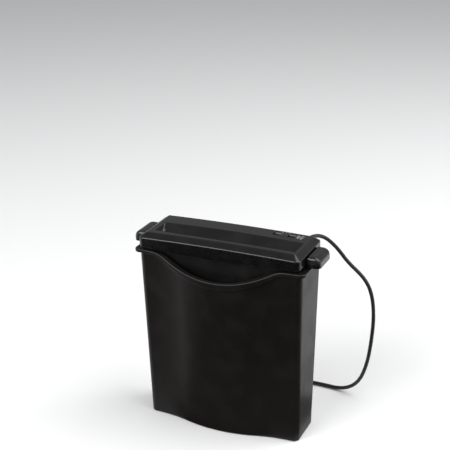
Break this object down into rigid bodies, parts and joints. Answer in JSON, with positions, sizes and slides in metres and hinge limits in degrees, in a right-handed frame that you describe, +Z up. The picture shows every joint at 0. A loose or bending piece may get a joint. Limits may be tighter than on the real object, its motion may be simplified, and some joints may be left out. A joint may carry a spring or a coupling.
{
  "type": "paper shredder",
  "caption": "Slim strip-cut paper shredder: a cutting head with a feed slot and end grips sits on the lipped rim of a tapered waste bin.",
  "frame": {"origin": "on the floor, under the middle of the bin and head", "axes": "+Z up, X along the feed slot, the front with the dipped rim faces -Y"},
  "size_m": [0.3452, 0.2122, 0.3126],
  "materials": {
    "bin_plastic": "satin moulded",
    "housing_plastic": "satin moulded",
    "knob_plastic": "satin moulded",
    "cutter_steel": "turned and hardened",
    "plate_steel": "zinc plated",
    "gear_plastic": "natural acetal",
    "brass": "sintered or turned",
    "comb_plastic": "moulded",
    "armature_steel": "stacked laminations",
    "screw_steel": "zinc plated",
    "board_laminate": "phenolic laminate",
    "component_plastic": "moulded",
    "cord_jacket": "satin pvc"
  },
  "bodies": {
    "bin": {"waste_bin": "bin_plastic", "power_cord": "cord_jacket", "cord_coil": "cord_jacket", "power_plug": "cord_jacket"},
    "head": {"upper_housing": "housing_plastic", "lower_housing": "housing_plastic", "left_grip": "housing_plastic", "right_grip": "housing_plastic", "switch_body": "housing_plastic", "interlock_switch": "knob_plastic", "idler_pin": "cutter_steel", "tie_rods": "cutter_steel", "left_side_plate": "plate_steel", "right_side_plate": "plate_steel", "motor_can": "plate_steel", "shaft_bushes": "brass", "front_comb": "comb_plastic", "rear_comb": "comb_plastic", "motor_end_cap": "comb_plastic", "housing_screws": "screw_steel", "frame_screws": "screw_steel", "motor_screws": "screw_steel", "grip_screws": "screw_steel", "board_screws": "screw_steel", "circuit_board": "board_laminate", "board_components": "component_plastic", "strain_relief": "cord_jacket"},
    "rear_cutter": {"rear_cutter": "cutter_steel", "rear_cutter_gear": "cutter_steel", "drive_gear": "gear_plastic"},
    "front_cutter": {"front_cutter": "cutter_steel", "front_cutter_gear": "cutter_steel"},
    "idler": {"idler_gear": "gear_plastic"},
    "rotor": {"motor_armature": "armature_steel", "motor_pinion": "brass"},
    "switch_knob": {"switch_knob": "knob_plastic"},
    "paper_lever": {"paper_lever": "comb_plastic"},
    "interlock_plunger": {"interlock_plunger": "knob_plastic"}
  },
  "joints": [
    {"name": "head_lift", "type": "slide", "parent": "bin", "child": "head", "axis": [0, 0, 1], "range_m": [0, 0.12]},
    {"name": "rear_cutter_spin", "type": "hinge", "parent": "head", "child": "rear_cutter", "pos_m": [0, 0.00825, 0.268], "axis": [1, 0, 0], "continuous": true},
    {"name": "front_cutter_spin", "type": "hinge", "parent": "head", "child": "front_cutter", "pos_m": [0, -0.01175, 0.268], "axis": [1, 0, 0], "continuous": true},
    {"name": "idler_spin", "type": "hinge", "parent": "head", "child": "idler", "pos_m": [-0.12, 0.00402, 0.24235], "axis": [1, 0, 0], "continuous": true},
    {"name": "rotor_spin", "type": "hinge", "parent": "head", "child": "rotor", "pos_m": [-0.08, 0.027, 0.2455], "axis": [1, 0, 0], "continuous": true},
    {"name": "switch_slide", "type": "slide", "parent": "head", "child": "switch_knob", "axis": [1, 0, 0], "range_m": [-0.005, 0.005]},
    {"name": "paper_lever_hinge", "type": "hinge", "parent": "head", "child": "paper_lever", "pos_m": [0.003, 0.0105, 0.2865], "axis": [1, 0, 0], "range_deg": [0, 16], "stiffness_Nm_per_rad": 0.002},
    {"name": "interlock_slide", "type": "slide", "parent": "head", "child": "interlock_plunger", "axis": [0, 0, -1], "range_m": [0, 0.003]}
  ],
  "couplings": [
    {"joint": "front_cutter_spin", "follows": "rear_cutter_spin", "ratio": -1},
    {"joint": "idler_spin", "follows": "rear_cutter_spin", "ratio": -3.3333},
    {"joint": "rotor_spin", "follows": "rear_cutter_spin", "ratio": 16},
    {"joint": "interlock_slide", "follows": "head_lift", "ratio": 0.025}
  ]
}
